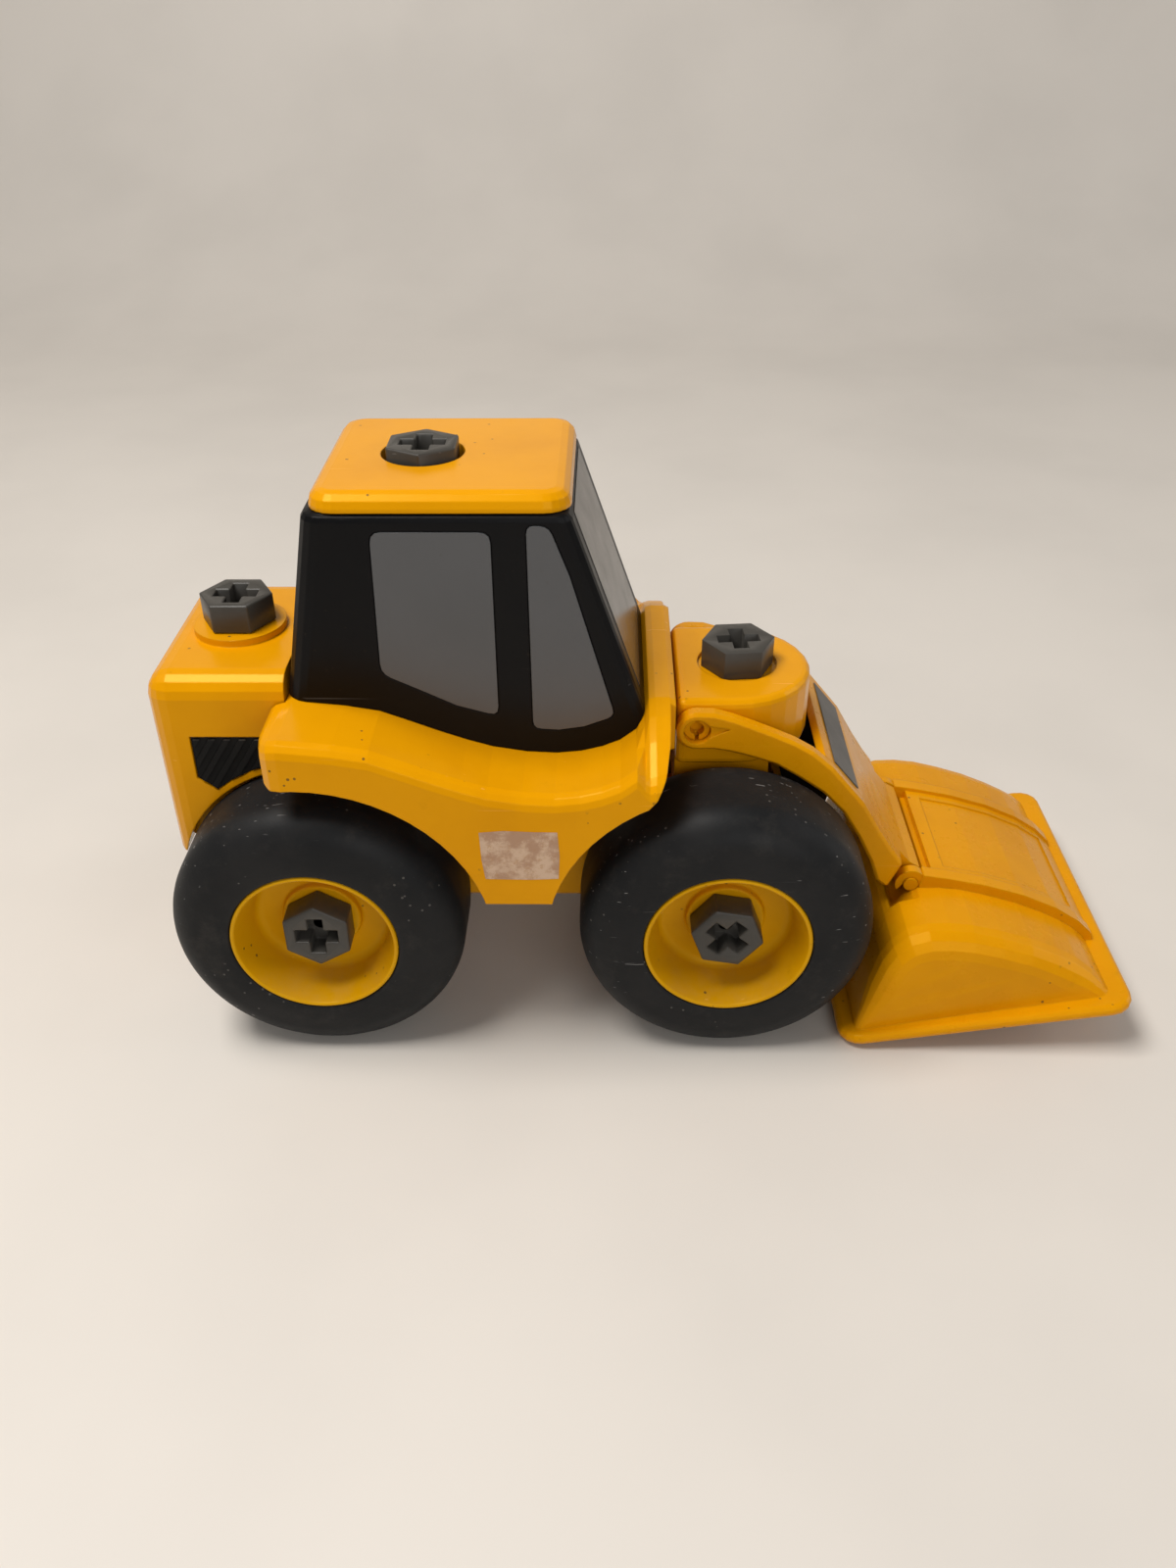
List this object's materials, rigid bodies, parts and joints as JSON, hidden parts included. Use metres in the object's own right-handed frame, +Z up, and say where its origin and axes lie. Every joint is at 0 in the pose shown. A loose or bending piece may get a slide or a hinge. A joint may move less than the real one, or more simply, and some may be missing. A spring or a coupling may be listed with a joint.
{
  "type": "toy wheel loader",
  "caption": "Take-apart toy wheel loader: cab, engine cover and front block held by big hexagonal toy screws, lifting arm, tilting bucket and spinning wheels.",
  "frame": {"origin": "middle of the footprint, on the plane the wheels stand on", "axes": "+X forward to the bucket, +Y to the vehicle's left, +Z up"},
  "size_m": [0.3683, 0.1508, 0.2193],
  "materials": {
    "yellow_plastic": "glossy moulded ABS, scuffed",
    "arm_yellow_plastic": "satin polyethylene, slightly translucent",
    "rim_yellow_plastic": "satin lemon yellow",
    "black_plastic": "satin black",
    "grille_plastic": "matt black, dusty",
    "window_grey": "satin grey",
    "windshield_grey": "glossy grey",
    "screw_plastic": "satin grey-brown",
    "tyre_rubber": "smooth charcoal, scuffed",
    "label_dark": "plain dark sticker"
  },
  "bodies": {
    "chassis": {"chassis": "yellow_plastic"},
    "fender_body": {"fender_body": "yellow_plastic"},
    "cab": {"cab_shell": "black_plastic", "cab_roof": "yellow_plastic", "door_window_right": "window_grey", "door_window_left": "window_grey", "quarter_window_right": "window_grey", "quarter_window_left": "window_grey", "windshield": "windshield_grey"},
    "roof_screw": {"roof_screw": "screw_plastic"},
    "engine_cover": {"engine_cover": "yellow_plastic", "grille_right": "grille_plastic", "grille_left": "grille_plastic"},
    "engine_screw": {"engine_screw": "screw_plastic"},
    "front_block": {"front_block": "yellow_plastic"},
    "front_screw": {"front_screw": "screw_plastic"},
    "loader_arm": {"loader_arm": "arm_yellow_plastic", "arm_label": "label_dark"},
    "bucket": {"bucket": "arm_yellow_plastic"},
    "wheel_rear_right": {"tyre_rear_right": "tyre_rubber", "rim_rear_right": "rim_yellow_plastic"},
    "wheel_screw_rear_right": {"wheel_screw_rear_right": "screw_plastic"},
    "wheel_rear_left": {"tyre_rear_left": "tyre_rubber", "rim_rear_left": "rim_yellow_plastic"},
    "wheel_screw_rear_left": {"wheel_screw_rear_left": "screw_plastic"},
    "wheel_front_right": {"tyre_front_right": "tyre_rubber", "rim_front_right": "rim_yellow_plastic"},
    "wheel_screw_front_right": {"wheel_screw_front_right": "screw_plastic"},
    "wheel_front_left": {"tyre_front_left": "tyre_rubber", "rim_front_left": "rim_yellow_plastic"},
    "wheel_screw_front_left": {"wheel_screw_front_left": "screw_plastic"}
  },
  "joints": [
    {"name": "body_lift_off", "type": "slide", "parent": "chassis", "child": "fender_body", "axis": [0, 0, 1], "range_m": [0, 0.08]},
    {"name": "cab_lift_off", "type": "slide", "parent": "fender_body", "child": "cab", "axis": [0, 0, 1], "range_m": [0, 0.08]},
    {"name": "roof_screw_out", "type": "slide", "parent": "cab", "child": "roof_screw", "axis": [0, 0, 1], "range_m": [0, 0.03]},
    {"name": "engine_cover_lift_off", "type": "slide", "parent": "chassis", "child": "engine_cover", "axis": [0, 0, 1], "range_m": [0, 0.07]},
    {"name": "engine_screw_out", "type": "slide", "parent": "engine_cover", "child": "engine_screw", "axis": [0, 0, 1], "range_m": [0, 0.03]},
    {"name": "front_block_lift_off", "type": "slide", "parent": "chassis", "child": "front_block", "axis": [0, 0, 1], "range_m": [0, 0.018]},
    {"name": "front_screw_out", "type": "slide", "parent": "front_block", "child": "front_screw", "axis": [0, 0, 1], "range_m": [0, 0.03]},
    {"name": "arm_lift", "type": "hinge", "parent": "front_block", "child": "loader_arm", "pos_m": [0.014, 0, 0.124], "axis": [0, -1, 0], "range_deg": [0, 60]},
    {"name": "bucket_tilt", "type": "hinge", "parent": "loader_arm", "child": "bucket", "pos_m": [0.1012, 0, 0.0519], "axis": [0, -1, 0], "range_deg": [-10, 80]},
    {"name": "wheel_spin_rear_right", "type": "hinge", "parent": "chassis", "child": "wheel_rear_right", "pos_m": [-0.127, -0.0563, 0.055], "axis": [0, 1, 0], "continuous": true},
    {"name": "wheel_screw_out_rear_right", "type": "slide", "parent": "chassis", "child": "wheel_screw_rear_right", "axis": [0, -1, 0], "range_m": [0, 0.03]},
    {"name": "wheel_spin_rear_left", "type": "hinge", "parent": "chassis", "child": "wheel_rear_left", "pos_m": [-0.127, 0.0563, 0.055], "axis": [0, 1, 0], "continuous": true},
    {"name": "wheel_screw_out_rear_left", "type": "slide", "parent": "chassis", "child": "wheel_screw_rear_left", "axis": [0, 1, 0], "range_m": [0, 0.03]},
    {"name": "wheel_spin_front_right", "type": "hinge", "parent": "chassis", "child": "wheel_front_right", "pos_m": [0.026, -0.0563, 0.055], "axis": [0, 1, 0], "continuous": true},
    {"name": "wheel_screw_out_front_right", "type": "slide", "parent": "chassis", "child": "wheel_screw_front_right", "axis": [0, -1, 0], "range_m": [0, 0.03]},
    {"name": "wheel_spin_front_left", "type": "hinge", "parent": "chassis", "child": "wheel_front_left", "pos_m": [0.026, 0.0563, 0.055], "axis": [0, 1, 0], "continuous": true},
    {"name": "wheel_screw_out_front_left", "type": "slide", "parent": "chassis", "child": "wheel_screw_front_left", "axis": [0, 1, 0], "range_m": [0, 0.03]}
  ]
}
